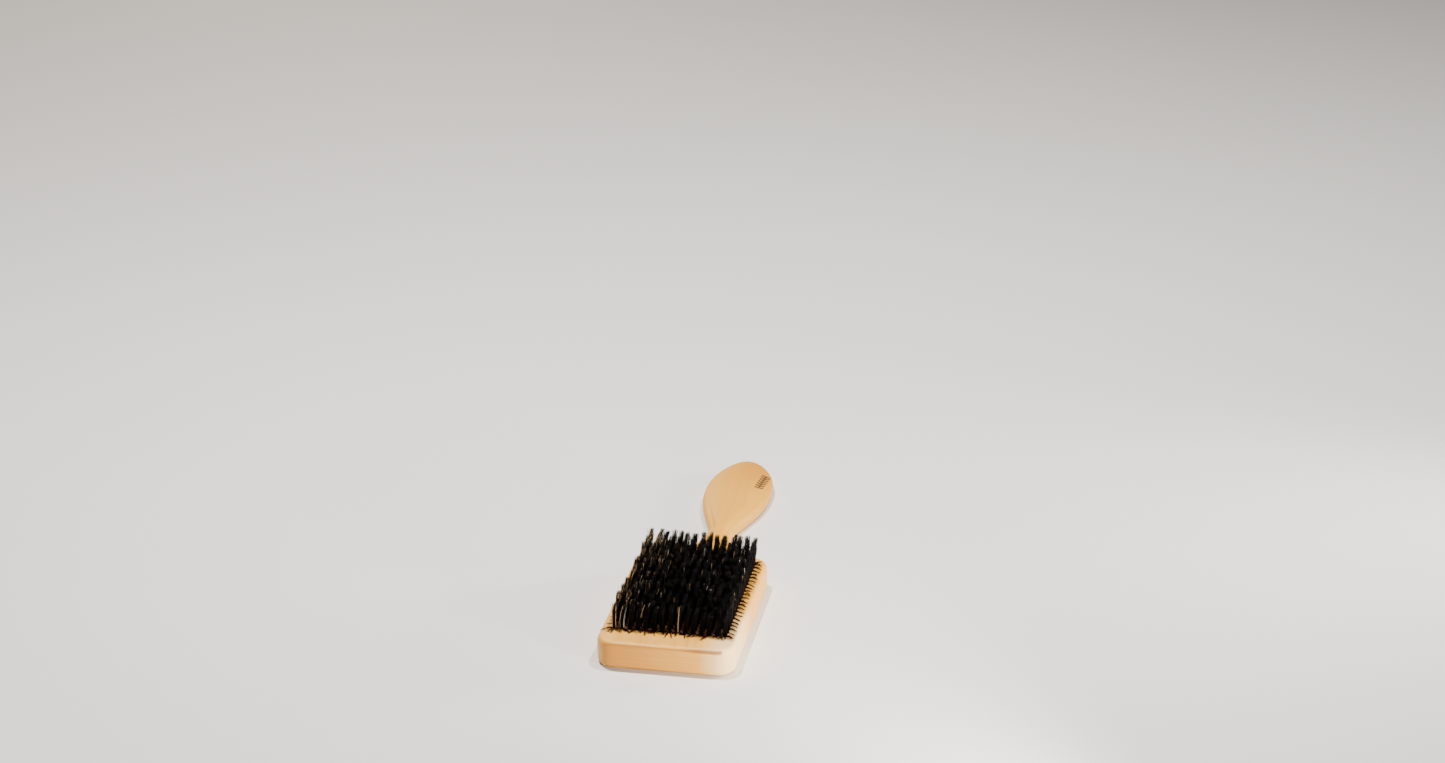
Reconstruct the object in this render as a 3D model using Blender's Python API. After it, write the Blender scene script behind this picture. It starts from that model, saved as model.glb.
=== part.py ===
"""Beard brush: a flat wooden paddle with a square-ended head full of bristle tufts and a spoon-shaped handle.

Metres, Z up. The origin is under the middle of the brush, on the plane its wood lies on.
X runs across the head, Y runs from the front of the head towards the tip of the handle.
"""
import math

import bmesh
import bpy
import numpy as np
from mathutils import Matrix, Vector

# Head of the paddle
head_width = 0.066
head_length = 0.100
head_thickness = 0.0136
corner_radius = 0.0087
arris_radius = 0.0024

# Handle
handle_length = 0.1255
handle_thickness = 0.0083
neck_half_width = 0.0061
neck_distance = 0.0395
bowl_half_width = 0.0177
bowl_distance = 0.093
root_half_width = 0.020
root_depth = 0.0030
cove_length = 0.016
cove_start_drop = 0.0010
tip_flat_half_width = 0.0015

# Fullness of the handle's outline curves, as shares of the stretch that each one spans
flare_fullness = 0.60
flare_rise = 0.04
neck_pull = 0.36
swell_start = 0.22
swell_end = 0.50
tip_fullness = 0.57

# Fineness of rounded shapes, and the most of its thickness that the handle's edge may round away
curve_steps = 9
corner_steps = 6
edge_steps = 3
handle_edge_share = 0.45
sharp_angle = math.radians(65.0)

# Tufts
columns = 15
rows = 22
side_margin = 0.0064
front_margin = 0.0155
back_margin = 0.0090
bristle_height = 0.0150
splay = 0.0008
tuft_sides = 5
hole_share = 0.74
tip_share = 0.62

# Back of the head
recess_wall = 0.0040
cover_thickness = 0.0025
wire_diameter = 0.0005
bead_height = 0.0012
bead_share = 0.66

clearance = 0.0003

# Places along the brush
overall_length = head_length + handle_length
head_front = -overall_length / 2.0
head_back = head_front + head_length
head_middle = (head_front + head_back) / 2.0

# Spacing and thickness of the tufts
half_field_x = head_width / 2.0 - side_margin
half_field_y = (head_length - front_margin - back_margin) / 2.0
field_middle = head_front + front_margin + half_field_y
column_pitch = 2.0 * half_field_x / (columns - 1)
row_pitch = 2.0 * half_field_y / (rows - 1)
least_pitch = min(column_pitch, row_pitch)
hole_radius = hole_share * least_pitch / 2.0
root_radius = hole_radius - clearance
tip_radius = tip_share * column_pitch / 2.0
bead_width = bead_share * row_pitch

# Heights inside the recess, from the cover up to the floor the tufts come out of
wire_low = cover_thickness + clearance
bead_low = wire_low + wire_diameter + clearance
bead_high = bead_low + bead_height
recess_top = bead_high + clearance
bristle_top = head_thickness + bristle_height

for leftover in list(bpy.data.objects):
    bpy.data.objects.remove(leftover, do_unlink=True)

pieces = bpy.data.collections.new("beard_brush")
cutters = bpy.data.collections.new("beard_brush_cutters")
bpy.context.scene.collection.children.link(pieces)
bpy.context.scene.collection.children.link(cutters)


def material(name, colour, roughness, metallic=0.0):
    """A plain material with one colour."""
    made = bpy.data.materials.new(name)
    made.use_nodes = True
    shader = made.node_tree.nodes["Principled BSDF"]
    shader.inputs["Base Color"].default_value = (*colour, 1.0)
    shader.inputs["Roughness"].default_value = roughness
    shader.inputs["Metallic"].default_value = metallic
    return made


def add_piece(name, mesh, surface):
    """A finished piece in the brush's own collection."""
    made = bpy.data.objects.new(name, mesh)
    pieces.objects.link(made)
    mesh.materials.append(surface)
    return made


def smooth_shading(mesh):
    """Smooth shading that still breaks at real edges."""
    mesh.shade_smooth()
    mesh.set_sharp_from_angle(angle=sharp_angle)


def add_cutter(name, mesh):
    """A helper solid that only shapes other pieces."""
    made = bpy.data.objects.new(name, mesh)
    cutters.objects.link(made)
    made.hide_render = True
    made.display_type = "WIRE"
    return made


def combine(target, tool, operation):
    """A live exact Boolean between two solids."""
    boolean = target.modifiers.new(tool.name, "BOOLEAN")
    boolean.operation = operation
    boolean.solver = "EXACT"
    boolean.object = tool


def rounded_block(width, length, height, radius, edge_radius=0.0):
    """A block centred on its own origin with its upright edges rounded, and its arrises too if asked."""
    shape = bmesh.new()
    bmesh.ops.create_cube(shape, size=1.0, matrix=Matrix.Diagonal((width, length, height, 1.0)))
    upright = [edge for edge in shape.edges if not is_level(edge)]
    round_edges(shape, upright, radius, corner_steps)
    if edge_radius > 0.0:
        arrises = [edge for edge in shape.edges if is_level(edge)]
        round_edges(shape, arrises, edge_radius, edge_steps)
    mesh = bpy.data.meshes.new("rounded_block")
    shape.to_mesh(mesh)
    shape.free()
    smooth_shading(mesh)
    return mesh


def is_level(edge):
    """Whether an edge lies in a level plane."""
    return abs(edge.verts[0].co.z - edge.verts[1].co.z) < clearance


def round_edges(shape, edges, radius, segments):
    """A round of one radius along the given edges."""
    bmesh.ops.bevel(
        shape,
        geom=edges,
        offset=radius,
        offset_type="OFFSET",
        segments=segments,
        profile=0.5,
        affect="EDGES",
        clamp_overlap=False,
    )


def cubic(start, leave, arrive, end, steps):
    """Points on a cubic curve from start to end, without the start itself."""
    part = np.linspace(0.0, 1.0, steps + 1)[1:, None]
    rest = 1.0 - part
    return (
        rest**3 * np.array(start)
        + 3.0 * rest**2 * part * np.array(leave)
        + 3.0 * rest * part**2 * np.array(arrive)
        + part**3 * np.array(end)
    )


def column_place(column):
    """Place across the head of one column of tufts."""
    return column * column_pitch - half_field_x


def row_place(row):
    """Place along the brush of one row."""
    return field_middle - half_field_y + row * row_pitch


# ---------------------------------------------------------------------------------------------
# Brush stock: head and handle are one board, shaped in plan and in side view.
# ---------------------------------------------------------------------------------------------
wood = material("stock_wood", (0.62, 0.39, 0.20), 0.5)
head_mesh = rounded_block(head_width, head_length, head_thickness, corner_radius, arris_radius)
brush_stock = add_piece("brush_stock", head_mesh, wood)
brush_stock.location = (0.0, head_middle, head_thickness / 2.0)


def handle_sections():
    """Distance behind the head, half width, underside and top of each section of the handle.

    The half width flares into the head, narrows to the neck, swells to the bowl and closes at the tip.
    The top coves down from near the head's top, and the last stretch rounds over above and below.
    """
    root = (root_half_width, 0.0)
    neck = (neck_half_width, neck_distance)
    bowl = (bowl_half_width, bowl_distance)
    tip = (0.0, handle_length)
    flare_width = neck_half_width + flare_fullness * (root_half_width - neck_half_width)
    bowl_rise = bowl_distance - neck_distance
    tip_rise = handle_length - bowl_distance
    flare = cubic(
        root,
        (flare_width, flare_rise * neck_distance),
        (neck_half_width, neck_distance - neck_pull * neck_distance),
        neck,
        curve_steps,
    )
    swell = cubic(
        neck,
        (neck_half_width, neck_distance + swell_start * bowl_rise),
        (bowl_half_width, bowl_distance - swell_end * bowl_rise),
        bowl,
        curve_steps,
    )
    close = cubic(
        bowl,
        (bowl_half_width, bowl_distance + tip_fullness * tip_rise),
        (tip_fullness * bowl_half_width, handle_length),
        tip,
        curve_steps,
    )
    places = np.vstack([[(root_half_width, -root_depth), root], flare, swell, close])
    behind = places[:, 1]
    half_width = np.maximum(places[:, 0], tip_flat_half_width)
    cove_top = head_thickness - cove_start_drop
    fall = np.clip(1.0 - behind / cove_length, 0.0, 1.0) ** 2
    edge_radius = min(arris_radius, handle_edge_share * handle_thickness)
    past_edge = np.clip(edge_radius - (handle_length - behind), 0.0, edge_radius)
    turn_over = edge_radius - np.sqrt(edge_radius**2 - past_edge**2)
    high = handle_thickness + (cove_top - handle_thickness) * fall - turn_over
    return np.column_stack([behind, half_width, turn_over, high])


def handle_mesh():
    """The handle as a loft through rounded rectangles that change in width and height."""
    quarter = np.radians(np.linspace(0.0, 90.0, edge_steps + 1))
    turns = np.concatenate([quarter + math.radians(90.0 * corner) for corner in range(4)])
    side = np.repeat([1.0, -1.0, -1.0, 1.0], len(quarter))
    level = np.repeat([1.0, 1.0, -1.0, -1.0], len(quarter))
    shape = bmesh.new()
    rings = []
    for behind, half_width, low, high in handle_sections():
        radius = min(arris_radius, handle_edge_share * (high - low), handle_edge_share * 2.0 * half_width)
        across = side * (half_width - radius) + radius * np.cos(turns)
        upward = (low + high) / 2.0 + level * ((high - low) / 2.0 - radius) + radius * np.sin(turns)
        along = head_back + behind
        rings.append([shape.verts.new((x, along, z)) for x, z in zip(across, upward)])
    for ring, following in zip(rings, rings[1:]):
        for index in range(len(ring)):
            after = (index + 1) % len(ring)
            shape.faces.new((ring[index], ring[after], following[after], following[index]))
    shape.faces.new(rings[0])
    shape.faces.new(rings[-1])
    bmesh.ops.recalc_face_normals(shape, faces=shape.faces)
    mesh = bpy.data.meshes.new("handle")
    shape.to_mesh(mesh)
    shape.free()
    smooth_shading(mesh)
    return mesh


handle = add_cutter("handle", handle_mesh())
combine(brush_stock, handle, "UNION")

# The recess in the underside and the holes that run from it up to the bristle face.
recess_mesh = rounded_block(
    head_width - 2.0 * recess_wall,
    head_length - 2.0 * recess_wall,
    2.0 * recess_top,
    max(corner_radius - recess_wall, clearance),
)
recess = add_cutter("recess", recess_mesh)
recess.location = (0.0, head_middle, 0.0)
combine(brush_stock, recess, "DIFFERENCE")

drill = bmesh.new()
for row in range(rows):
    for column in range(columns):
        middle = Vector((column_place(column), row_place(row), (recess_top + head_thickness) / 2.0))
        bmesh.ops.create_cone(
            drill,
            cap_ends=True,
            segments=tuft_sides,
            radius1=hole_radius,
            radius2=hole_radius,
            depth=head_thickness - recess_top + 2.0 * clearance,
            matrix=Matrix.Translation(middle),
        )
holes_mesh = bpy.data.meshes.new("tuft_holes")
drill.to_mesh(holes_mesh)
drill.free()
tuft_holes = add_cutter("tuft_holes", holes_mesh)
combine(brush_stock, tuft_holes, "DIFFERENCE")

# ---------------------------------------------------------------------------------------------
# Back cover: a thin lid let in flush with the underside of the head.
# ---------------------------------------------------------------------------------------------
cover_wood = material("cover_wood", (0.58, 0.36, 0.18), 0.55)
cover_mesh = rounded_block(
    head_width - 2.0 * (recess_wall + clearance),
    head_length - 2.0 * (recess_wall + clearance),
    cover_thickness,
    max(corner_radius - recess_wall - clearance, clearance),
)
back_cover = add_piece("back_cover", cover_mesh, cover_wood)
back_cover.location = (0.0, head_middle, cover_thickness / 2.0)

# ---------------------------------------------------------------------------------------------
# Tufts: each row stands in its holes and is held behind by its folded roots in a bead of cement.
# ---------------------------------------------------------------------------------------------
bristle = material("bristle", (0.012, 0.010, 0.009), 0.45)
metal = material("drawing_wire", (0.74, 0.56, 0.28), 0.3, 1.0)


def add_tuft(shape, across, along):
    """One tuft: straight through the board, then spreading and leaning slightly outwards to its tip."""
    foot = Vector((across, along, (bead_low + bead_high) / 2.0))
    lean = Vector((splay * across / half_field_x, splay * (along - field_middle) / half_field_y, 0.0))
    ring = bmesh.ops.create_circle(
        shape,
        cap_ends=True,
        segments=tuft_sides,
        radius=root_radius,
        matrix=Matrix.Translation(foot),
    )["verts"]
    foot_face = ring[0].link_faces[0]
    cap = foot_face
    rises = (
        (head_thickness - foot.z, Vector((0.0, 0.0, 0.0)), 1.0),
        (bristle_height, lean, tip_radius / root_radius),
    )
    centre = foot.copy()
    for rise, shift, growth in rises:
        grown = bmesh.ops.extrude_face_region(shape, geom=[cap])["geom"]
        corners = [item for item in grown if isinstance(item, bmesh.types.BMVert)]
        if cap is not foot_face:
            bmesh.ops.delete(shape, geom=[cap], context="FACES_ONLY")
        cap = next(item for item in grown if isinstance(item, bmesh.types.BMFace))
        bmesh.ops.translate(shape, verts=corners, vec=Vector((0.0, 0.0, rise)) + shift)
        centre = centre + Vector((0.0, 0.0, rise)) + shift
        bmesh.ops.scale(
            shape,
            verts=corners,
            vec=(growth, growth, 1.0),
            space=Matrix.Translation(-centre),
        )


bead_length = 2.0 * (half_field_x + hole_radius)
for row in range(rows):
    number = f"{row + 1:02d}"
    along = row_place(row)

    tuft_shape = bmesh.new()
    for column in range(columns):
        add_tuft(tuft_shape, column_place(column), along)
    bmesh.ops.recalc_face_normals(tuft_shape, faces=tuft_shape.faces)
    tufts_mesh = bpy.data.meshes.new("tufts_" + number)
    tuft_shape.to_mesh(tufts_mesh)
    tuft_shape.free()
    tufts = add_cutter("tufts_" + number, tufts_mesh)

    bead = bmesh.new()
    bmesh.ops.create_cube(
        bead,
        size=1.0,
        matrix=Matrix.Translation((0.0, along, (bead_low + bead_high) / 2.0))
        @ Matrix.Diagonal((bead_length, bead_width, bead_height, 1.0)),
    )
    bead_mesh = bpy.data.meshes.new("tuft_row_" + number)
    bead.to_mesh(bead_mesh)
    bead.free()
    tuft_row = add_piece("tuft_row_" + number, bead_mesh, bristle)
    combine(tuft_row, tufts, "UNION")

    wire = bmesh.new()
    bmesh.ops.create_cone(
        wire,
        cap_ends=True,
        segments=6,
        radius1=wire_diameter / 2.0,
        radius2=wire_diameter / 2.0,
        depth=bead_length,
        matrix=Matrix.Translation((0.0, along, wire_low + wire_diameter / 2.0))
        @ Matrix.Rotation(math.pi / 2.0, 4, "Y"),
    )
    wire_mesh = bpy.data.meshes.new("drawing_wire_" + number)
    wire.to_mesh(wire_mesh)
    wire.free()
    smooth_shading(wire_mesh)
    add_piece("drawing_wire_" + number, wire_mesh, metal)
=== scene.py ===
"""A beard brush: a one-board wooden paddle with rows of drawn bristle tufts."""
import math

import bmesh
import bpy
import numpy as np
from mathutils import Matrix, Vector


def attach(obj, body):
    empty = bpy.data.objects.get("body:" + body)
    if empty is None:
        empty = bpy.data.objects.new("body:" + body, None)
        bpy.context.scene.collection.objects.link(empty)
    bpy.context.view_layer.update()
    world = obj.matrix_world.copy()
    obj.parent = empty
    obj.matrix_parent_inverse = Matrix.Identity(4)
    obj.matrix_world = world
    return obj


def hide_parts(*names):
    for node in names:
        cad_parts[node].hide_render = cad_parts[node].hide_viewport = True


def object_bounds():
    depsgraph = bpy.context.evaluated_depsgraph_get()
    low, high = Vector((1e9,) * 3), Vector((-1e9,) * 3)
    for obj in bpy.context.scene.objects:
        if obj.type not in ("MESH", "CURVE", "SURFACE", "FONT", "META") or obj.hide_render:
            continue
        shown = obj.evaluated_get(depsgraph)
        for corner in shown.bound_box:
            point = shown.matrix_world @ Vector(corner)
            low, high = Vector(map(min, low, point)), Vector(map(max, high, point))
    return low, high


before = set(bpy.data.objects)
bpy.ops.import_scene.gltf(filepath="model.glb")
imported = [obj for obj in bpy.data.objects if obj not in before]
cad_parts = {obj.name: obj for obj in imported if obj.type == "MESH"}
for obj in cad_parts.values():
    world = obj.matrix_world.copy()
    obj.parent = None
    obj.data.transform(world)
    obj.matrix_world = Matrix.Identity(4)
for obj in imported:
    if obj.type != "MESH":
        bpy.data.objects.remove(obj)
cad_low, cad_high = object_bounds()

# =============================================================================================
# Brush stock
# The head and the handle are one planed and sanded board of pale, close-grained wood.
# Its edges are rounded by hand, a recess behind takes the cover, and the face is drilled for the tufts.
# =============================================================================================
head_width = 0.066
head_length = 0.100
head_thickness = 0.0136
corner_radius = 0.0087
arris_radius = 0.0024
head_front = cad_low.y
head_back = head_front + head_length
head_middle = head_front + head_length / 2.0

# The neck and the spoon's widest place: half width, and distance behind the head.
neck = (0.0061, 0.0395)
bowl = (0.0177, 0.093)
root_half_width = 0.020
handle_length = 0.1255
handle_thickness = 0.0083
handle_crown = 0.0017
crown_run = 0.030
cove_length = 0.016
cove_start_drop = 0.0010
edge_sink_run = 0.0043

recess_wall = 0.0040
recess_depth = 0.0051
recess_overrun = 0.002

columns = 15
rows = 22
side_margin = 0.0064
front_margin = 0.0155
back_margin = 0.0090
half_field_x = head_width / 2.0 - side_margin
half_field_y = (head_length - front_margin - back_margin) / 2.0
field_middle = head_front + front_margin + half_field_y
column_pitch = 2.0 * half_field_x / (columns - 1)
row_pitch = 2.0 * half_field_y / (rows - 1)
hole_share = 0.74
hole_radius = hole_share * min(column_pitch, row_pitch) / 2.0
hole_overrun = 0.001
mouth_depth = 0.00018
mouth_overrun = 0.0004
mouth_flare = 0.0005

# Places nearer to each other than this are one place.
same_place = 1e-6


def cubic(start, leave, arrive, end, steps):
    """Points on a cubic curve from start to end, without the end: the four points weighted by the
    Bernstein polynomials of an even parameter."""
    part = np.linspace(0.0, 1.0, steps, endpoint=False)[:, None]
    rest = 1.0 - part
    return (
        rest**3 * np.array(start)
        + 3.0 * rest**2 * part * np.array(leave)
        + 3.0 * rest * part**2 * np.array(arrive)
        + part**3 * np.array(end)
    )


def line(start, end, steps):
    """Evenly spaced points from start to end, without the end."""
    part = np.linspace(0.0, 1.0, steps, endpoint=False)[:, None]
    return (1.0 - part) * np.array(start) + part * np.array(end)


def arc(centre, radius, first, last, steps):
    """Evenly spaced points on an arc from one angle to another in degrees, without the end."""
    turn = np.radians(np.linspace(first, last, steps, endpoint=False))
    return np.array(centre) + radius * np.column_stack([np.cos(turn), np.sin(turn)])


def eased(share):
    """Smooth step of a share from 0 to 1: three times its square less twice its cube."""
    return share * share * (3.0 - 2.0 * share)


def plan_outline():
    """The board's outline seen from above, anticlockwise from the middle of the front.

    One side is a chain of lines, corner arcs and the handle's three cubic curves: the flare from the head
    to the neck, the spoon's swell, and its tip. The other side is its mirror.
    """
    half = head_width / 2.0
    inner = half - corner_radius
    swell_rise = bowl[1] - neck[1]
    tip_rise = handle_length - bowl[1]
    tip = (0.0, handle_length)
    flare_leave = (neck[0] + 0.60 * (root_half_width - neck[0]), 0.04 * neck[1])
    flare_arrive = (neck[0], 0.64 * neck[1])
    swell_leave = (neck[0], neck[1] + 0.22 * swell_rise)
    swell_arrive = (bowl[0], bowl[1] - 0.50 * swell_rise)
    tip_leave = (bowl[0], bowl[1] + 0.57 * tip_rise)
    tip_arrive = (0.57 * bowl[0], handle_length)
    handle = [
        cubic((root_half_width, 0.0), flare_leave, flare_arrive, neck, 30),
        cubic(neck, swell_leave, swell_arrive, bowl, 32),
        cubic(bowl, tip_leave, tip_arrive, tip, 30),
        [tip],
    ]
    side = [
        line((0.0, head_front), (inner, head_front), 14),
        arc((inner, head_front + corner_radius), corner_radius, -90.0, 0.0, 18),
        line((half, head_front + corner_radius), (half, head_back - corner_radius), 44),
        arc((inner, head_back - corner_radius), corner_radius, 0.0, 90.0, 18),
        line((inner, head_back), (root_half_width, head_back), 5),
        np.vstack(handle) + (0.0, head_back),
    ]
    right = np.vstack(side)
    left = right[-2:0:-1] * np.array([-1.0, 1.0])
    return np.vstack([right, left])


def top_height(along):
    """Height of the board's top over a place along it: level over the head, rounded down at its back
    edge, then a square-law cove down to the handle."""
    behind = along - head_back
    past_edge = np.clip(behind + arris_radius, 0.0, arris_radius)
    rounded = head_thickness - arris_radius + np.sqrt(arris_radius**2 - past_edge**2)
    fall = np.clip(1.0 - behind / cove_length, 0.0, 1.0) ** 2
    cove = handle_thickness + (head_thickness - cove_start_drop - handle_thickness) * fall
    sloping = np.maximum(np.where(behind < 0.0, rounded, 0.0), cove)
    return np.where(behind < -arris_radius, head_thickness, sloping)


def crown_drop(along):
    """How far the handle's two sides are planed below its middle at a place along it: none at the
    handle's root, rising by a smooth step to the full crown over the spoon."""
    return handle_crown * eased(np.clip((along - head_back - cove_length) / crown_run, 0.0, 1.0))


def board_surface():
    """The whole board but its flat underside, as one grid.

    One direction runs round the outline. The other runs out over the lower round, up the wall, over the
    upper round and in to the top's centre line. The rounds are quarter circles. On the top, a point's
    height is top_height, plus the wall's extra height times the sixth power of its share of the way out
    from the centre line, less the crown times the fourth power of that share.
    """
    outline = plan_outline()
    tangent = np.roll(outline, -1, axis=0) - np.roll(outline, 1, axis=0)
    tangent /= np.linalg.norm(tangent, axis=1)[:, None]
    inward = np.column_stack([-tangent[:, 1], tangent[:, 0]])
    spine_front = head_front + 0.012
    spine_back = head_back + handle_length - 0.008
    spine = np.column_stack([np.zeros(len(outline)), np.clip(outline[:, 1], spine_front, spine_back)])

    # The wall's top edge sinks from the head's height to the cove's along the head's back edge.
    from_corner = head_width / 2.0 - corner_radius - np.abs(outline[:, 0])
    sinking = eased(np.clip(from_corner / edge_sink_run, 0.0, 1.0))
    at_back = outline[:, 1] > head_back - same_place
    cove = top_height(np.maximum(outline[:, 1], head_back))
    wall_top = np.where(at_back, cove + (head_thickness - cove) * (1.0 - sinking), head_thickness)
    crown = crown_drop(outline[:, 1]) * inward[:, 0] ** 2

    turn = np.radians(np.linspace(0.0, 90.0, 9))
    insets = arris_radius * (1.0 - np.cos(turn))
    drops = arris_radius * (1.0 - np.sin(turn))
    round_end = outline + inward * arris_radius
    flat_rim = 0.0007
    rings = [np.column_stack([round_end + inward * flat_rim, np.zeros(len(outline))])]
    for inset, level in zip(insets[::-1], drops[::-1]):
        rings.append(np.column_stack([outline + inward * inset, np.full(len(outline), level)]))
    for inset, drop in zip(insets, drops):
        rings.append(np.column_stack([outline + inward * inset, wall_top - crown - drop]))
    excess = wall_top - top_height(round_end[:, 1])
    for share in np.linspace(1.0, 0.0, 16)[1:] ** 1.4:
        flat = spine + (round_end - spine) * share
        top = top_height(flat[:, 1]) + excess * share**6 - crown * share**4
        rings.append(np.column_stack([flat, top]))
    return np.array(rings)


def grid_faces(ring_count, point_count):
    """Quads between neighbouring rings of a grid whose rings are closed, as an array of point numbers."""
    ring, point = np.meshgrid(np.arange(ring_count - 1), np.arange(point_count), indexing="ij")
    after = (point + 1) % point_count
    low = ring * point_count
    high = low + point_count
    return np.stack([low + point, low + after, high + after, high + point], axis=-1).reshape(-1, 4)


def piece_from(name, points, faces):
    """A mesh object with the given points and list of faces, linked to the scene."""
    mesh = bpy.data.meshes.new(name)
    mesh.from_pydata(points.reshape(-1, 3).tolist(), [], faces)
    made = bpy.data.objects.new(name, mesh)
    bpy.context.scene.collection.objects.link(made)
    return made


def prism(name, rings):
    """Closed solids from stacks of equal rings, with single flat faces at their ends. The array's axes are
    stack, ring, point and coordinate."""
    stacks, ring_count, point_count, _ = rings.shape
    one = grid_faces(ring_count, point_count)
    shift = (np.arange(stacks) * ring_count * point_count)[:, None, None]
    sides = (one[None] + shift).reshape(-1, 4).tolist()
    bottom = (np.arange(point_count)[::-1][None] + shift[:, 0]).tolist()
    top = (np.arange(point_count)[None] + shift[:, 0] + (ring_count - 1) * point_count).tolist()
    return piece_from(name, rings, sides + bottom + top)


def rounded_rectangle(width, length, radius, steps):
    """Points anticlockwise round a rectangle centred on the head: a quarter circle at each corner, with
    the straight sides between their ends."""
    half = np.array([width / 2.0 - radius, length / 2.0 - radius])
    corners = half * [(1.0, -1.0), (1.0, 1.0), (-1.0, 1.0), (-1.0, -1.0)] + (0.0, head_middle)
    first = np.radians([-90.0, 0.0, 90.0, 180.0])
    turn = first[:, None] + np.radians(np.linspace(0.0, 90.0, steps + 1))
    spokes = np.stack([np.cos(turn), np.sin(turn)], axis=-1)
    return (corners[:, None] + radius * spokes).reshape(-1, 2)


def tuft_centres(row):
    """Plan positions of one row's holes, evenly spaced across the head."""
    across = np.linspace(-half_field_x, half_field_x, columns)
    along = field_middle - half_field_y + row * row_pitch
    return np.column_stack([across, np.full(columns, along)])


def cut(target, tool):
    """Subtracts the tool from the target for good and removes the tool."""
    boolean = target.modifiers.new("cut", "BOOLEAN")
    boolean.operation = "DIFFERENCE"
    boolean.solver = "EXACT"
    boolean.object = tool
    bpy.context.view_layer.update()
    evaluated = target.evaluated_get(bpy.context.evaluated_depsgraph_get())
    mesh = bpy.data.meshes.new_from_object(evaluated)
    target.modifiers.remove(boolean)
    target.data = mesh
    bpy.data.objects.remove(tool, do_unlink=True)


def weld(piece):
    """Merges doubled points and turns every face outwards."""
    shape = bmesh.new()
    shape.from_mesh(piece.data)
    bmesh.ops.remove_doubles(shape, verts=shape.verts, dist=same_place)
    bmesh.ops.recalc_face_normals(shape, faces=shape.faces)
    shape.to_mesh(piece.data)
    shape.free()


board = board_surface()
underside = list(range(board.shape[1]))[::-1]
stock = piece_from("wooden_stock", board, grid_faces(*board.shape[:2]).tolist() + [underside])
weld(stock)

recess_width = head_width - 2.0 * recess_wall
recess_length = head_length - 2.0 * recess_wall
pocket = rounded_rectangle(recess_width, recess_length, corner_radius - recess_wall, 8)
pocket_levels = (-recess_overrun, recess_depth)
pocket_rings = np.stack([np.column_stack([pocket, np.full(len(pocket), z)]) for z in pocket_levels])
cut(stock, prism("pocket", pocket_rings[None]))

# The drill goes through from the face to the recess, and each hole's mouth is eased.
centres = np.vstack([tuft_centres(row) for row in range(rows)])
around = np.linspace(0.0, 2.0 * math.pi, 14, endpoint=False)
levels = [recess_depth - hole_overrun, head_thickness - mouth_depth, head_thickness + mouth_overrun]
radii = np.array([hole_radius, hole_radius, hole_radius + mouth_flare])[:, None]
holes_cut = np.empty((len(centres), len(levels), len(around), 3))
holes_cut[..., 0] = centres[:, 0, None, None] + radii * np.cos(around)
holes_cut[..., 1] = centres[:, 1, None, None] + radii * np.sin(around)
holes_cut[..., 2] = np.array(levels)[:, None]
cut(stock, prism("drill", holes_cut))
stock.data.shade_smooth()
stock.data.set_sharp_from_angle(angle=math.radians(42.0))


class Signal:
    """One socket of a material's nodes. Arithmetic on it adds the Math nodes that do the sum."""

    def __init__(self, tree, socket):
        self.tree = tree
        self.socket = socket

    def node(self, kind, settings=None, inputs=None, output=0):
        """Adds a node of one kind, sets its own settings first, then its sockets' values or links."""
        made = self.tree.nodes.new(kind)
        for key, value in (settings or {}).items():
            setattr(made, key, value)
        for key, value in (inputs or {}).items():
            if isinstance(value, Signal):
                self.tree.links.new(value.socket, made.inputs[key])
            else:
                made.inputs[key].default_value = value
        return Signal(self.tree, made.outputs[output])

    def maths(self, operation, first, second=0.0):
        """A Math node on two values, either of them a signal or a number."""
        return self.node("ShaderNodeMath", {"operation": operation}, {0: first, 1: second})

    def __add__(self, other):
        return self.maths("ADD", self, other)

    __radd__ = __add__

    def __sub__(self, other):
        return self.maths("SUBTRACT", self, other)

    def __rsub__(self, other):
        return self.maths("SUBTRACT", other, self)

    def __mul__(self, other):
        return self.maths("MULTIPLY", self, other)

    __rmul__ = __mul__

    def __truediv__(self, other):
        return self.maths("DIVIDE", self, other)

    def __rtruediv__(self, other):
        return self.maths("DIVIDE", other, self)

    def __abs__(self):
        return self.maths("ABSOLUTE", self)

    def root(self):
        """Its square root."""
        return self.maths("SQRT", self)

    def most(self, other):
        """The larger of the two."""
        return self.maths("MAXIMUM", self, other)

    def part(self):
        """What is left above the whole number below."""
        return self.maths("FRACT", self)

    def fade(self, low, high):
        """0 below low, 1 above high and a smooth rise between, or the other way round if low is the
        larger."""
        ends = {"Value": self, "From Min": low, "From Max": high, "To Min": 0.0, "To Max": 1.0}
        return self.node("ShaderNodeMapRange", {"interpolation_type": "SMOOTHSTEP"}, ends)

    def between(self, first, second):
        """A colour mixed from the first at 0 to the second at 1."""
        ends = {0: self, 6: padded(first), 7: padded(second)}
        return self.node("ShaderNodeMix", {"data_type": "RGBA"}, ends, output=2)


def padded(colour):
    """A colour socket takes four numbers."""
    return colour if isinstance(colour, Signal) else (*colour, 1.0)


def finish_material(name, **sockets):
    """A new Principled material, with constants on the shader's own sockets. Returns it with its shader."""
    made = bpy.data.materials.new(name)
    made.use_nodes = True
    shader = made.node_tree.nodes["Principled BSDF"]
    for key, value in sockets.items():
        shader.inputs[key.replace("_", " ")].default_value = value
    return made, shader


def place(tree, scale=(1.0, 1.0, 1.0)):
    """Object coordinates, each multiplied by its scale."""
    start = Signal(tree, tree.nodes.new("ShaderNodeTexCoord").outputs["Object"])
    return start.node("ShaderNodeMapping", None, {"Vector": start, "Scale": scale})


def noise(tree, scale, detail, seed=None):
    """Smooth noise about a half, with so many repeats to the metre along each axis. A seed picks a
    pattern of its own."""
    at = place(tree, scale)
    inputs = {"Vector": at, "Scale": 1.0, "Detail": detail}
    if seed is None:
        return at.node("ShaderNodeTexNoise", None, inputs)
    return at.node("ShaderNodeTexNoise", {"noise_dimensions": "4D"}, {**inputs, "W": seed})


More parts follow.
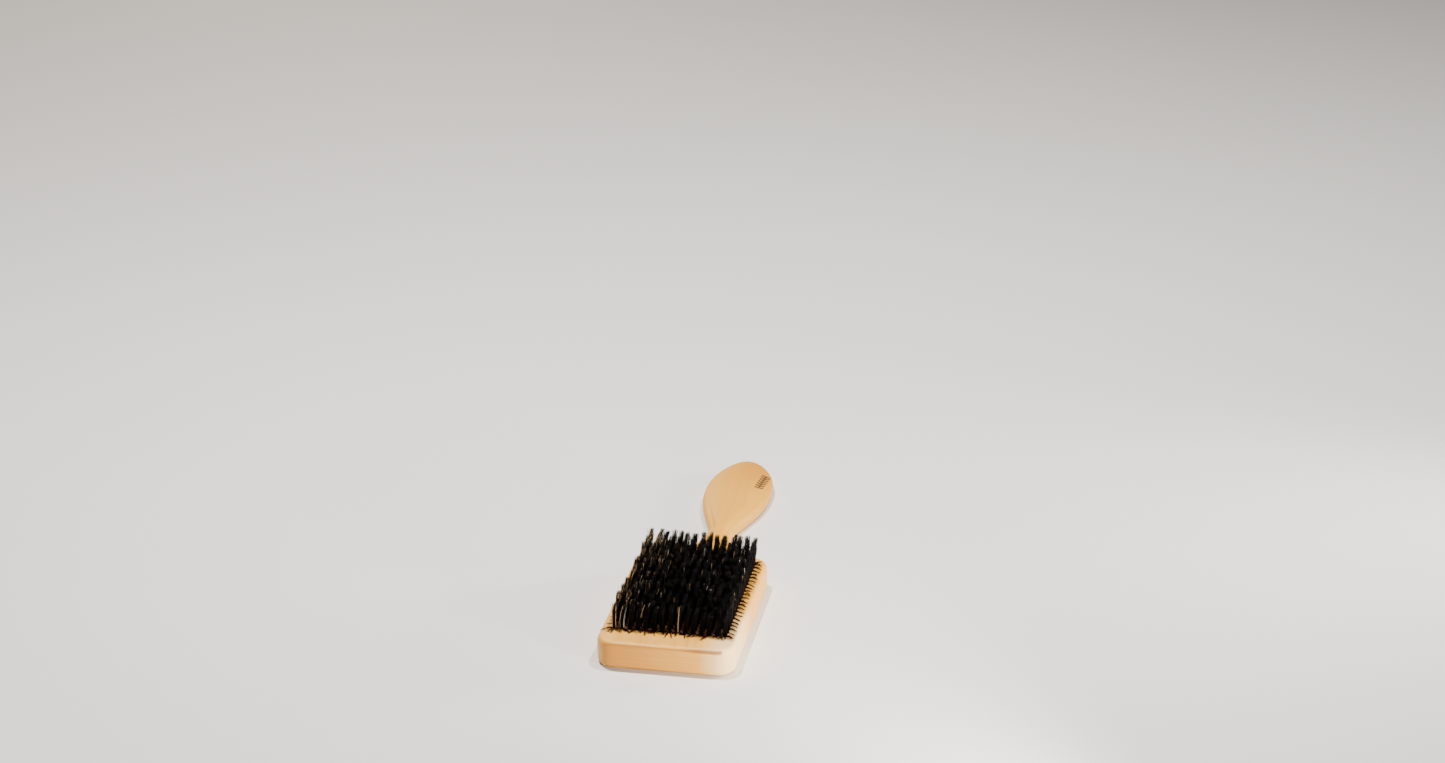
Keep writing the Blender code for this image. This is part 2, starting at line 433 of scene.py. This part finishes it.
# The heart that the growth rings run round lies beside and well below the board, and slopes along it.
heart_aside = 0.021
heart_below = 0.075
heart_slope = 0.02
year_growth = 0.00135


def wood(name, pale, deep, seed):
    """Close-grained pale wood as a solid.

    A growth ring is the fractional part of the distance from the heart over a year's growth, with its
    late wood darker. Fine fibres, broad streaks and short flecks run along the board. Returns the
    material, its shader, its colour, its height and its three object coordinates.
    """
    made, shader = finish_material(name, Roughness=0.45)
    tree = made.node_tree
    at = place(tree)
    x = at.node("ShaderNodeSeparateXYZ", None, {"Vector": at})
    y, z = [Signal(tree, x.socket.node.outputs[axis]) for axis in (1, 2)]
    drift = noise(tree, (26.0, 5.0, 26.0), 2.0, seed)
    across = x + heart_aside + (drift - 0.5) * 0.012
    down = z + heart_below + (drift - 0.5) * 0.006 + y * heart_slope
    from_heart = (across * across + down * down).root()
    year = (from_heart / year_growth + drift * 1.2).part()
    late = year.fade(0.35, 0.92) * year.fade(1.0, 0.93)
    fibres = noise(tree, (1500.0, 34.0, 1500.0), 3.0, seed + 3.0)
    broad = noise(tree, (90.0, 9.0, 90.0), 3.0, seed + 7.0)
    grown = place(tree, (1100.0, 130.0, 1100.0))
    flecks = grown.node("ShaderNodeTexVoronoi", None, {"Vector": grown, "Scale": 1.0}).fade(0.26, 0.10)
    amount = late * 0.17 + (fibres - 0.5) * 0.45 + (broad - 0.5) + 0.26 + flecks * 0.16
    colour = amount.fade(-0.1, 1.1).between(pale, deep)
    height = fibres * 0.5 + late * 0.25 - flecks * 0.4
    return made, shader, colour, height, (x, y, z)


def connect(shader, colour, roughness, height, strength, distance):
    """Feeds the varying colour, roughness and a bump made from the height into the shader."""
    tree = shader.id_data
    tree.links.new(colour.socket, shader.inputs["Base Color"])
    tree.links.new(roughness.socket, shader.inputs["Roughness"])
    relief = {"Strength": strength, "Distance": distance, "Height": height}
    tree.links.new(colour.node("ShaderNodeBump", None, relief).socket, shader.inputs["Normal"])


pale_tone = (0.86, 0.445, 0.066)
deep_tone = (0.60, 0.235, 0.020)
handle_tone = (0.72, 0.335, 0.008)
toasted_and_shade_tone = (0.60, 0.232, 0.012)
corner_highlight_tone = (0.90, 0.64, 0.32)
field_edge_shade_tone = (0.20, 0.070, 0.032)
shaded_tone = (0.045, 0.015, 0.007)
arris_line_tone = (0.24, 0.070, 0.014)
burnt_tone = (0.050, 0.018, 0.008)
stock_wood, shader, colour, height, (x, y, z) = wood("pale_wood", pale_tone, deep_tone, 1.0)
tree = shader.id_data

# A brown line runs along the front's upper round, growing wider and darker towards its right end.
line_drop = 0.0011
front = y - head_front
line_width = x.fade(0.006, 0.018) * 0.00040 + 0.00032
line_run = x.fade(-0.0295, -0.025) * x.fade(0.0282, 0.0272) * front.fade(0.0034, 0.0024)
line_depth = 0.38 + x.fade(0.002, 0.018) * 0.42
off_line = abs(z - (head_thickness - line_drop))
arris_line = (off_line / line_width).fade(1.5, 0.5) * line_run * line_depth

# A burnt sprig on the handle: a stem with pairs of short leaves set back from it.
sprig_middle = (0.0118, head_back + 0.1000)
sprig_turn = math.radians(85.0)
sprig_half_length = 0.0090
leaf_pitch = 0.0026
leaf_reach = 0.0027
stem_half_width = 0.00058
dx = x - sprig_middle[0]
dy = y - sprig_middle[1]
stem_way = dx * math.cos(sprig_turn) + dy * math.sin(sprig_turn)
from_stem = abs(dy * math.cos(sprig_turn) - dx * math.sin(sprig_turn))
leaf_beat = abs(((stem_way - from_stem * 0.9) / leaf_pitch).part() - 0.5)
leaves = leaf_beat.fade(0.38, 0.26) * from_stem.fade(leaf_reach, leaf_reach - 0.0005)
stem = from_stem.fade(stem_half_width, stem_half_width - 0.00022)
sprig_run = abs(stem_way).fade(sprig_half_length, sprig_half_length - 0.0004)
on_handle_top = z.fade(0.0058, 0.0064)
sprig = leaves.most(stem) * sprig_run * on_handle_top

# The finish has gone in deeper on the end grain of the front and near the handle's tip. On the front, the
# darkening grows towards the left as painted shade, where the lamps at the right reach less. The whole
# handle is a little deeper than the head.
toast = y.fade(head_back + 0.078, head_back + handle_length) * x.fade(-0.024, 0.010)
streaks = noise(tree, (16.0, 60.0, 1400.0), 3.0)
end_grain_and_shade = front.fade(0.0022, 0.0004) * (0.35 + x.fade(0.024, -0.030) * 0.65 + (streaks - 0.5) * 0.9)
colour = (y.fade(head_back, head_back + 0.03) * 0.65).between(colour, handle_tone)
colour = toast.most(end_grain_and_shade).between(colour, toasted_and_shade_tone)

# A paler, less saturated patch on the front right corner is a painted highlight of the lamps at the right.
highlight_reach_x = 0.017
highlight_reach_y = 0.050
from_corner_x = (head_width / 2.0 - x) / highlight_reach_x
from_corner_y = front / highlight_reach_y
corner_highlight = (from_corner_x * from_corner_x + from_corner_y * from_corner_y).fade(1.0, 0.0)
colour = (corner_highlight * 0.80).between(colour, corner_highlight_tone)

# Painted shade darkens the wood between the tufts, where their shade falls, and more faintly just outside
# them.
outside_x = abs(x) - half_field_x
outside_y = abs(y - field_middle) - half_field_y
ragged = noise(tree, (420.0, 420.0, 420.0), 2.0)
outside = outside_x.most(outside_y) + (ragged - 0.5) * 0.0035
on_face = z.fade(head_thickness - 0.001, head_thickness - 0.0003)
colour = (outside.fade(0.0052, 0.0010) * on_face * 0.45).between(colour, field_edge_shade_tone)
colour = (outside.fade(0.0010, -0.0004) * on_face * 0.95).between(colour, shaded_tone)
colour = arris_line.between(colour, arris_line_tone)
colour = (sprig * 0.95).between(colour, burnt_tone)
dark_marks = arris_line.most(sprig)

handled = noise(tree, (45.0, 45.0, 45.0), 3.0)
connect(shader, colour, 0.40 + handled * 0.16 + dark_marks * 0.2, height - dark_marks * 1.2, 0.35, 0.0002)
stock.data.materials.append(stock_wood)
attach(stock, "root")
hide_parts("brush_stock")

# =============================================================================================
# Back cover
# A thin lid of the same wood, let in flush with the underside, hides the wires and the tufts' roots.
# It is glued into the recess, with its edges eased so that a fine groove shows round it.
# =============================================================================================
cover_thickness = 0.0025
cover_gap = 0.0003
cover_ease = 0.00035


def cover_surface():
    """Rings of a rounded rectangle: a quarter circle at the lower edge, straight up the wall, and flat
    above."""
    width = recess_width - 2.0 * cover_gap
    length = recess_length - 2.0 * cover_gap
    radius = corner_radius - recess_wall - cover_gap
    turn = np.radians(np.linspace(90.0, 0.0, 5))
    insets = np.concatenate([cover_ease * (1.0 - np.cos(turn)), [0.0]])
    heights = np.concatenate([cover_ease * (1.0 - np.sin(turn)), [cover_thickness]])
    rings = []
    for inset, level in zip(insets, heights):
        plan = rounded_rectangle(width - 2.0 * inset, length - 2.0 * inset, radius - inset, 10)
        rings.append(np.column_stack([plan, np.full(len(plan), level)]))
    return np.array(rings)


cover = prism("cover_lid", cover_surface()[None])
weld(cover)
cover.data.shade_smooth()
cover.data.set_sharp_from_angle(angle=math.radians(40.0))
cover_wood, shader, colour, height, _ = wood("cover_wood", (0.82, 0.41, 0.050), (0.56, 0.22, 0.018), 5.0)
worn = noise(shader.id_data, (60.0, 60.0, 60.0), 3.0)
connect(shader, colour, 0.44 + worn * 0.16, height, 0.35, 0.0002)
cover.data.materials.append(cover_wood)
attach(cover, "root")
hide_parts("back_cover")

# =============================================================================================
# Drawing wires
# A soft brass wire runs behind each row and pulls the folded tufts into their holes.
# =============================================================================================
bright_brass = (0.80, 0.60, 0.27)
dull_brass = (0.42, 0.27, 0.12)
brass, shader = finish_material("drawn_brass", Metallic=1.0, Roughness=0.3)
dull = noise(shader.id_data, (60.0, 900.0, 900.0), 3.0)
connect(shader, dull.between(bright_brass, dull_brass), 0.25 + dull * 0.2, dull, 0.2, 0.00005)
for row in range(rows):
    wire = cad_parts[f"drawing_wire_{row + 1:02d}"]
    wire.data.materials.clear()
    wire.data.materials.append(brass)

# =============================================================================================
# Bristle tufts
# Each tuft is a few dozen stiff natural bristles folded in half, drawn through its hole and
# set behind in a bead of dark cement that runs the length of the row.
# =============================================================================================
bristles_in_tuft = 44
bristle_height = 0.0150
bristle_radii = (0.00008, 0.000125)
root_radius = hole_radius - 0.0003
bead_low = 0.0036
bead_high = 0.0048
bead_width = 0.66 * row_pitch
golden_turn = math.pi * (3.0 - math.sqrt(5.0))

# Very nearly a full turn, in radians.
any_turn = 6.28
three_corners = np.radians([0.0, 120.0, 240.0])

dark_hair = np.array([0.0012, 0.0010, 0.0010])
brown_hair = np.array([0.010, 0.0045, 0.0020])
gold_and_glint_hair = np.array([0.50, 0.32, 0.15])
white_hair = np.array([0.62, 0.58, 0.52])
red_brown_hair = np.array([0.042, 0.0100, 0.0036])
cement = np.array([0.012, 0.010, 0.008])


def bristle_row(row):
    """Rings and tones of one row's bristles.

    Roots fill each hole in a sunflower spiral: the square root of the share out, a golden turn each. A
    bristle stands straight through the board, then drifts to its tip with the 1.5 power of its height and
    one slow bend, half a sine. Its section is a triangle that tapers towards the tip.
    """
    draw = np.random.default_rng(500 + row)
    holes = tuft_centres(row)
    tufts = len(holes)
    shape = (tufts, bristles_in_tuft)
    share = (np.arange(bristles_in_tuft) + 0.5) / bristles_in_tuft
    out = np.sqrt(share)[None] * root_radius * 0.92
    angle = np.arange(bristles_in_tuft)[None] * golden_turn + draw.uniform(0.0, any_turn, (tufts, 1))
    spoke = np.stack([np.cos(angle), np.sin(angle)], axis=-1) * out[..., None]

    # The field leans a little to the right, most of all at the back left, and splays at its front and
    # back. Each tuft leans its own way too, and a few bristles stray.
    side = holes[:, 0] / half_field_x
    depth = (holes[:, 1] - field_middle) / half_field_y
    inward_lean = 0.0012 * np.clip(depth, 0.0, 1.0) * np.clip(-side, 0.0, 1.0)
    lean = np.column_stack([0.0014 - 0.0003 * side + inward_lean, 0.0003 + 0.0012 * depth])
    lean = lean + draw.normal(0.0, 0.00065, (tufts, 2))
    stray = np.where(draw.random(shape) < 0.05, 0.0010, 0.00018)[..., None]
    tip = spoke * 0.88 + lean[:, None] + draw.normal(0.0, 1.0, (*shape, 2)) * stray
    bend = draw.normal(0.0, 0.00022, (*shape, 2)) + draw.normal(0.0, 0.00025, (tufts, 1, 2))
    tall = 0.985 + 0.045 * depth[:, None] - 0.060 * np.abs(draw.normal(0.0, 1.0, (tufts, 1)))
    tall = tall - 0.022 * np.abs(draw.normal(0.0, 1.0, shape))
    tall = bristle_height * np.clip(tall, 0.6, 1.025)

    way = np.array([0.0, 0.0, 0.35, 0.72, 1.0])
    taper = np.array([1.0, 1.0, 1.0, 0.90, 0.50])
    swell = np.array([1.0, 1.0, 1.28, 1.35, 1.28])[:, None]
    drift = (tip - spoke)[:, :, None] * way[:, None] ** 1.5
    bow = bend[:, :, None] * np.sin(math.pi * way)[:, None]
    middle = holes[:, None, None] + spoke[:, :, None] * swell + drift + bow
    level = head_thickness + tall[..., None] * way
    level[..., 0] = (bead_low + bead_high) / 2.0
    corner = three_corners + draw.uniform(0.0, any_turn, (*shape, 1, 1))
    width = draw.uniform(*bristle_radii, (*shape, 1)) * taper
    points = np.empty((*shape, len(way), 3, 3))
    points[..., 0] = middle[..., 0, None] + width[..., None] * np.cos(corner)
    points[..., 1] = middle[..., 1, None] + width[..., None] * np.sin(corner)
    points[..., 2] = level[..., None]

    # Most bristles are black, with a few golden, white and brown-tipped ones anywhere. The extra golden
    # bristles and brown tips at the left edge are painted glints of the light from the left and behind.
    chance = draw.random(shape)[..., None]
    left = np.clip(-side, 0.0, 1.0)[:, None] ** 4
    kind = np.where(chance > 0.95, brown_hair, dark_hair)
    kind = np.where(chance < (0.006 + 0.10 * left)[..., None], gold_and_glint_hair, kind)
    kind = np.where(chance < 0.003, white_hair, kind)
    tip_share = np.array([0.0, 0.0, 0.0, 0.35, 1.0])[:, None]
    tipped_and_glinting = (draw.random(shape) < 0.015 + 0.25 * left)[..., None, None] * tip_share * 0.9
    tone = kind[:, :, None] * (1.0 - tipped_and_glinting) + tipped_and_glinting * brown_hair * 1.6
    tone = np.repeat(tone[:, :, :, None], 3, axis=3)
    return points.reshape(-1, len(way), 3, 3), tone.reshape(-1, 3)


bristles_in_wisp = 8
wisp_radii = (0.00008, 0.00012)
wisp_clearance = 0.00012
wisp_rise = 0.00045


def splayed_wisps(row):
    """Rings and tones of the low wisps that splay over the wood from the field's outer tufts.

    Each wisp is a few short bristles side by side. A bristle leaves its hole, runs outwards in plan by
    its length times the parameter, and rises and falls a little above the wood along half a sine.
    """
    draw = np.random.default_rng(900 + row)
    holes = tuft_centres(row)

    # Two wisps at each end of the row, and four at every tuft of the first and last rows. A bearing is in
    # degrees from the right, anticlockwise.
    feet = [holes[-1:], holes[-1:], holes[:1], holes[:1]]
    end_bearings = ((-27.0, 5.0), (-8.0, 5.0), (196.0, 6.0), (214.0, 8.0))
    bearings = [draw.normal(mean, spread, 1) for mean, spread in end_bearings]
    lengths = [
        draw.normal(0.0057, 0.0003, 1),
        draw.uniform(0.0010, 0.0046, 1),
        draw.normal(0.0048, 0.0004, 1),
        draw.uniform(0.0015, 0.0040, 1),
    ]
    if row in (0, rows - 1):
        facing = -90.0 if row == 0 else 90.0
        for turned in (-58.0, -20.0, 20.0, 54.0):
            feet.append(holes)
            bearings.append(draw.normal(facing + turned, 13.0, columns))
            lengths.append(draw.uniform(0.0028, 0.0084, columns))
    feet = np.repeat(np.vstack(feet), bristles_in_wisp, axis=0)
    bearings = np.repeat(np.radians(np.concatenate(bearings)), bristles_in_wisp)
    count = len(bearings)
    lengths = np.repeat(np.concatenate(lengths), bristles_in_wisp) * draw.uniform(0.80, 1.0, count)
    ahead = np.column_stack([np.cos(bearings), np.sin(bearings)])
    across = np.column_stack([-ahead[:, 1], ahead[:, 0]])
    aside = across * draw.normal(0.0, 0.00021, (count, 1))
    curl = across * draw.normal(0.0, 0.00022, (count, 1))

    way = np.array([0.0, 0.12, 0.45, 0.75, 1.0])
    taper = np.array([1.0, 1.0, 0.95, 0.80, 0.40])
    run = (lengths[:, None] - root_radius) * way + root_radius * 0.8
    middle = feet[:, None] + ahead[:, None] * run[..., None] + aside[:, None]
    middle = middle + curl[:, None] * (way**2)[:, None]
    rise = wisp_rise * np.sin(math.pi * way) * draw.uniform(0.5, 1.2, (len(way), count)).T
    level = head_thickness + wisp_clearance + rise
    level[:, 0] = head_thickness - 0.0008
    width = draw.uniform(*wisp_radii, (count, 1)) * taper
    spread = np.cos(three_corners) * width[..., None]
    points = np.empty((count, len(way), 3, 3))
    points[..., 0] = middle[..., 0, None] + spread * across[:, 0, None, None]
    points[..., 1] = middle[..., 1, None] + spread * across[:, 1, None, None]
    points[..., 2] = level[..., None] + np.sin(three_corners) * width[..., None]
    tone = np.broadcast_to(red_brown_hair * draw.uniform(0.3, 1.3, (count, 1, 1, 1)), points.shape)
    return points, tone.reshape(-1, 3)


def bead_surface(row):
    """The row's cement bead: a bar along the row whose section is a rounded square, the square root of
    the cosine and of the sine, swollen at each tuft by a slow cosine and closed at its ends."""
    holes = tuft_centres(row)
    first, last = holes[0, 0] - hole_radius, holes[-1, 0] + hole_radius
    across = np.linspace(first, last, 8 * columns + 1)
    ripple = 0.93 + 0.07 * np.cos(2.0 * math.pi * (across - holes[0, 0]) / column_pitch)
    to_end = 2.0 * (across - first) / (last - first) - 1.0
    swell = ripple * (0.15 + 0.85 * np.sqrt(np.clip(1.0 - to_end**40, 0.0, 1.0)))
    turn = np.linspace(0.0, 2.0 * math.pi, 16, endpoint=False)
    sideways = 0.5 * np.sign(np.cos(turn)) * np.abs(np.cos(turn)) ** 0.5
    upward = 0.5 * np.sign(np.sin(turn)) * np.abs(np.sin(turn)) ** 0.5
    points = np.empty((len(across), len(turn), 3))
    points[..., 0] = across[:, None]
    points[..., 1] = holes[0, 1] + bead_width * swell[:, None] * sideways
    points[..., 2] = (bead_low + bead_high) / 2.0 + (bead_high - bead_low) * swell[:, None] * upward
    return points


bristle, shader = finish_material("dark_bristle", Roughness=0.48, Specular_IOR_Level=0.07)
tree = shader.id_data
tone = Signal(tree, tree.nodes.new("ShaderNodeAttribute").outputs["Color"])
tone.socket.node.attribute_name = "tone"
scales = noise(tree, (3000.0, 3000.0, 700.0), 2.0)
connect(shader, tone, 0.34 + scales * 0.2, scales, 0.25, 0.00003)

for row in range(rows):
    bristles, bristle_tones = bristle_row(row)
    wisps, wisp_tones = splayed_wisps(row)
    bead = bead_surface(row)
    hairs = prism(f"bristle_row_{row + 1:02d}", np.concatenate([bristles, wisps]))
    bar = prism("bead", bead[None])
    tones = np.vstack([bristle_tones, wisp_tones, np.tile(cement, (bead.size // 3, 1))])
    with bpy.context.temp_override(active_object=hairs, selected_editable_objects=[hairs, bar]):
        bpy.ops.object.join()
    layer = hairs.data.color_attributes.new("tone", "FLOAT_COLOR", "POINT")
    layer.data.foreach_set("color", np.column_stack([tones, np.ones(len(tones))]).ravel())
    hairs.data.shade_smooth()
    hairs.data.materials.append(bristle)
    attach(hairs, "root")
    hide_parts(f"tuft_row_{row + 1:02d}")

# =============================================================================================
# Floor, light and camera
# A plain pale floor under soft studio lamps: two high over the head, left and right, two low at the
# right for the front corner and the handle's edge, and a broad one far behind on the left.
# =============================================================================================
floor_level = -0.0002
floor_plan = [(-4.0, -4.0), (4.0, -4.0), (4.0, 6.0), (-4.0, 6.0)]
floor = piece_from("floor", np.array([(*corner, floor_level) for corner in floor_plan]), [[0, 1, 2, 3]])
paper, shader = finish_material("floor_paper", Roughness=0.9)
mottle = noise(shader.id_data, (3.0, 3.0, 3.0), 2.0)
paper_tone = mottle.between((0.78, 0.775, 0.765), (0.82, 0.815, 0.805))
connect(shader, paper_tone, 0.85 + mottle * 0.1, mottle, 0.05, 0.0005)
floor.data.materials.append(paper)

world = bpy.data.worlds.new("studio")
world.use_nodes = True
sky = world.node_tree.nodes["Background"]
sky.inputs["Color"].default_value = (0.95, 0.97, 1.0, 1.0)
sky.inputs["Strength"].default_value = 0.14
bpy.context.scene.world = world


def lamp(name, away, size, power, colour, spread=180.0):
    """A square area lamp at a place measured from the top of the head, facing it, with its beam's spread
    in degrees."""
    data = bpy.data.lights.new(name, "AREA")
    data.size = size
    data.energy = power
    data.color = colour
    data.spread = math.radians(spread)
    made = bpy.data.objects.new(name, data)
    bpy.context.scene.collection.objects.link(made)
    made.location = Vector((0.0, head_middle, head_thickness)) + Vector(away)
    made.rotation_euler = (-Vector(away)).to_track_quat("-Z", "Y").to_euler()


lamp("key", (-0.24, 0.14, 1.10), 0.020, 18.0, (1.0, 0.95, 0.88))
lamp("top", (0.34, 0.15, 1.10), 0.020, 11.0, (1.0, 0.95, 0.88))
lamp("side", (0.25, -0.20, 0.030), 0.06, 0.27, (1.0, 0.96, 0.92), 60.0)
lamp("edge", (0.60, 0.26, 0.14), 0.12, 0.62, (1.0, 0.96, 0.90), 70.0)
lamp("back", (-0.80, 1.50, 0.80), 0.40, 6.6, (1.0, 0.88, 0.74))

eye = bpy.data.cameras.new("eye")
eye.sensor_width = 36.0
eye.lens = 62.3
camera = bpy.data.objects.new("eye", eye)
bpy.context.scene.collection.objects.link(camera)
heading = Matrix.Rotation(math.radians(11.06), 4, "Z")
pitch = Matrix.Rotation(math.radians(90.0 - 22.44), 4, "X")
roll = Matrix.Rotation(math.radians(-0.73), 4, "Z")
stand = Matrix.Translation((0.2248, head_front - 0.9977, head_thickness + 0.5548))
camera.matrix_world = stand @ heading @ pitch @ roll
bpy.context.scene.camera = camera
